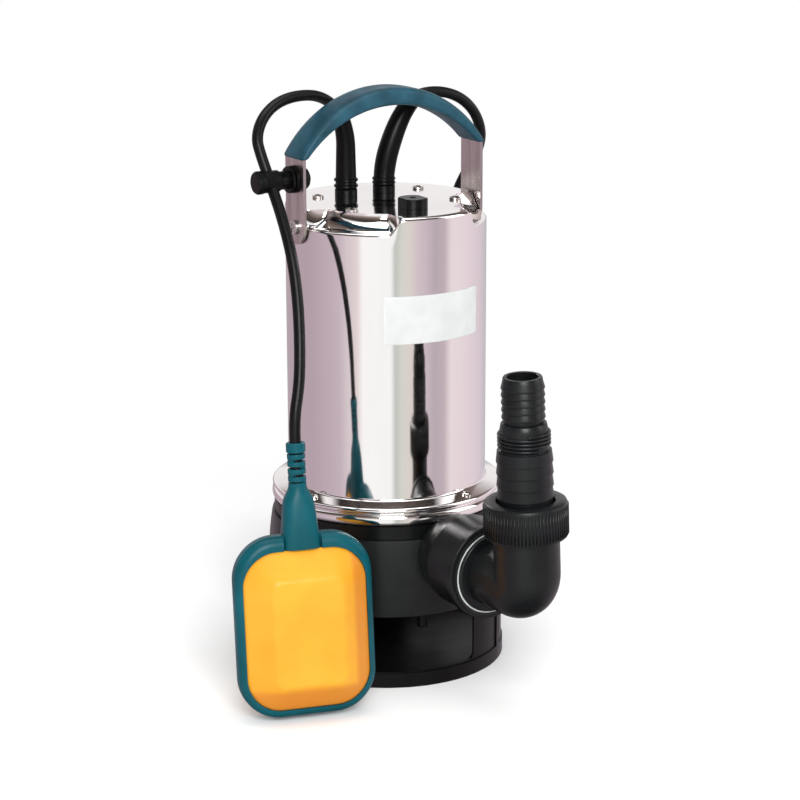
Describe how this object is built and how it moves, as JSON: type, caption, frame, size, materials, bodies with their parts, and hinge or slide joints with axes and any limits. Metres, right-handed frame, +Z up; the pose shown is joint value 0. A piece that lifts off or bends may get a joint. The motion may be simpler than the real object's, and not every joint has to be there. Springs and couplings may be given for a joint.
{
  "type": "submersible sump pump",
  "caption": "Upright submersible pump with a polished round motor can, strainer base, side discharge elbow with stepped hose tail, carrying handle and tethered float switch.",
  "frame": {"origin": "on the motor shaft's axis, at the underside of the base", "axes": "+X towards the discharge, the handle spans Y with the float on the -Y side, +Z up along the shaft"},
  "size_m": [0.4257, 0.3229, 0.3822],
  "materials": {
    "black_plastic": "satin moulded black polypropylene",
    "volute_black": "satin black glass-filled plastic",
    "band_black": "smooth black",
    "polished_steel": "polished stainless sheet",
    "satin_steel": "satin stainless strip",
    "screw_steel": "bright stainless",
    "teal_plastic": "satin teal",
    "yellow_plastic": "satin yellow-orange",
    "cable_rubber": "dull black",
    "gland_black": "satin",
    "seal_rubber": "matt",
    "impeller_plastic": "moulded black",
    "shaft_steel": "ground stainless",
    "core_steel": "laminated steel",
    "winding_copper": "enamelled copper",
    "bracket_metal": "cast aluminium",
    "ceramic": "ceramic seal face",
    "capacitor_shell": "white plastic case",
    "pin_metal": "plated brass pins"
  },
  "bodies": {
    "pump": {"strainer_base": "black_plastic", "base_screws": "screw_steel", "suction_cover": "black_plastic", "wear_ring": "black_plastic", "guard_posts": "black_plastic", "volute_housing": "volute_black", "discharge_neck": "volute_black", "port_ring": "volute_black", "seal_housing": "band_black", "housing_seal": "seal_rubber", "seal_seat": "ceramic", "bearing_bracket": "bracket_metal", "lower_bearing": "shaft_steel", "upper_bearing": "shaft_steel", "stator_core": "core_steel", "stator_windings": "winding_copper", "upper_bracket": "bracket_metal", "capacitor": "capacitor_shell", "motor_can": "polished_steel", "flange_screws": "screw_steel", "lid_screws": "screw_steel", "filler_plug": "gland_black", "float_gland": "gland_black", "power_gland": "gland_black", "float_boot": "cable_rubber", "power_boot": "cable_rubber", "handle_strip": "satin_steel", "handle_grip": "teal_plastic", "handle_screws": "screw_steel", "discharge_elbow": "volute_black", "elbow_collar": "volute_black", "elbow_thread": "volute_black", "elbow_seal": "seal_rubber", "hose_adapter": "volute_black", "float_cable_upper": "cable_rubber", "power_cable": "cable_rubber", "plug_cable": "cable_rubber", "cable_coil": "cable_rubber", "plug_body": "black_plastic", "plug_pins": "pin_metal"},
    "rotor": {"shaft": "shaft_steel", "rotor_core": "core_steel", "impeller": "impeller_plastic", "impeller_nut": "screw_steel", "seal_ring": "ceramic"},
    "nut": {"union_nut": "volute_black"},
    "float": {"clip_eye": "gland_black", "clip_nut": "gland_black", "float_cable_lower": "cable_rubber", "float_stem": "teal_plastic", "float_rim": "teal_plastic", "float_shell_front": "yellow_plastic", "float_shell_rear": "yellow_plastic", "float_switch": "black_plastic"},
    "ball": {"float_ball": "screw_steel"}
  },
  "joints": [
    {"name": "rotor_spin", "type": "hinge", "parent": "pump", "child": "rotor", "pos_m": [0, 0, 0.1], "axis": [0, 0, 1], "continuous": true},
    {"name": "nut_turn", "type": "hinge", "parent": "pump", "child": "nut", "pos_m": [0.166, 0, 0.09], "axis": [0, -0.0419, 0.9991], "continuous": true},
    {"name": "float_swing", "type": "hinge", "parent": "pump", "child": "float", "pos_m": [0, -0.0855, 0.328], "axis": [0, -1, 0], "range_deg": [0, 105]},
    {"name": "ball_roll", "type": "slide", "parent": "float", "child": "ball", "axis": [-0.1045, 0.0191, 0.9943], "range_m": [0, 0.026]}
  ]
}
